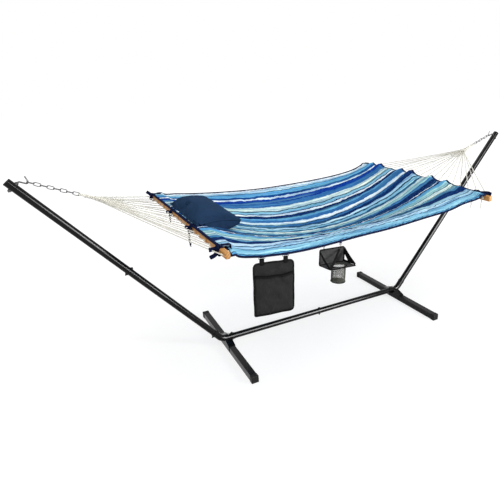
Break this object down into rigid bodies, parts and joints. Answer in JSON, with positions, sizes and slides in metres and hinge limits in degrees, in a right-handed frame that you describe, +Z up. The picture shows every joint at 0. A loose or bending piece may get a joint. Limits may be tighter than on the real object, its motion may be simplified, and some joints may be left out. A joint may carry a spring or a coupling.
{
  "type": "hammock on stand",
  "caption": "Quilted striped hammock with wooden spreader bars on a demountable black tube stand, with pillow, magazine bag and cup holder.",
  "frame": {"origin": "on the floor, under the middle of the stand", "axes": "+X along the stand towards the foot end, +Y across it away from the accessories' side, +Z up"},
  "size_m": [3.2472, 1.4486, 1.1655],
  "materials": {
    "stand_paint": "gloss black powder coat",
    "end_plastic": "moulded black",
    "fastener_steel": "zinc plated",
    "chain_steel": "zinc plated",
    "cream_rope": "twisted polyester rope",
    "bar_wood": "clear varnish",
    "striped_fabric": "quilted woven polyester, printed stripes",
    "navy_webbing": "woven webbing",
    "pillow_fabric": "woven polyester",
    "black_cloth": "coated polyester cloth",
    "black_webbing": "woven tape",
    "cup_net": "open mesh"
  },
  "bodies": {
    "stand": {"arm_end_plugs": "end_plastic", "beam_left": "stand_paint", "beam_right": "stand_paint", "elbow_left": "stand_paint", "elbow_right": "stand_paint", "foot_bolts": "fastener_steel", "foot_end_caps": "end_plastic", "foot_nuts": "fastener_steel", "foot_tube_left": "stand_paint", "foot_tube_right": "stand_paint", "foot_washers": "fastener_steel", "hook_left": "fastener_steel", "hook_nuts": "fastener_steel", "hook_right": "fastener_steel", "hook_washers": "fastener_steel", "joint_bolts": "fastener_steel", "joint_nuts": "fastener_steel", "joint_washers": "fastener_steel", "lower_arm_left": "stand_paint", "lower_arm_right": "stand_paint", "saddle_left": "stand_paint", "saddle_right": "stand_paint", "upper_arm_left": "stand_paint", "upper_arm_right": "stand_paint"},
    "hammock": {"bed": "striped_fabric", "chain_left": "chain_steel", "chain_right": "chain_steel", "clew_left": "cream_rope", "clew_right": "cream_rope", "corner_ties_left": "navy_webbing", "corner_ties_right": "navy_webbing", "fan_ropes_left": "cream_rope", "fan_ropes_right": "cream_rope", "hanger_rings": "chain_steel", "hanger_tabs": "navy_webbing", "hem_left": "navy_webbing", "hem_right": "navy_webbing", "hem_straps_left": "cream_rope", "hem_straps_right": "cream_rope", "pillow_ties": "navy_webbing", "rope_eye_left": "cream_rope", "rope_eye_right": "cream_rope", "spreader_bar_left": "bar_wood", "spreader_bar_right": "bar_wood"},
    "pillow": {"pillow": "pillow_fabric"},
    "magazine_bag": {"bag_binding": "black_webbing", "bag_panel": "black_cloth", "bag_pocket": "black_cloth", "bag_straps": "black_webbing"},
    "cup_holder": {"cup_cords": "black_webbing", "cup_holder_panel": "black_cloth", "cup_holder_shelf": "black_cloth", "cup_holder_straps": "black_webbing", "cup_mesh": "cup_net", "cup_rim": "black_webbing"}
  },
  "joints": [
    {"name": "swing", "type": "hinge", "parent": "stand", "child": "hammock", "pos_m": [0, 0, 1.1376], "axis": [1, 0, 0], "range_deg": [-20, 20]},
    {"name": "pillow_lift", "type": "hinge", "parent": "hammock", "child": "pillow", "pos_m": [-0.83955, 0, 0.89328], "axis": [0, -1, 0], "range_deg": [0, 75]},
    {"name": "bag_swing", "type": "hinge", "parent": "hammock", "child": "magazine_bag", "pos_m": [-0.64088, -0.68572, 0.81165], "axis": [0.9959, 0, -0.0907], "range_deg": [-45, 45]},
    {"name": "cup_holder_swing", "type": "hinge", "parent": "hammock", "child": "cup_holder", "pos_m": [-0.30519, -0.6383, 0.78917], "axis": [0.9985, 0, -0.0542], "range_deg": [-30, 45]}
  ]
}
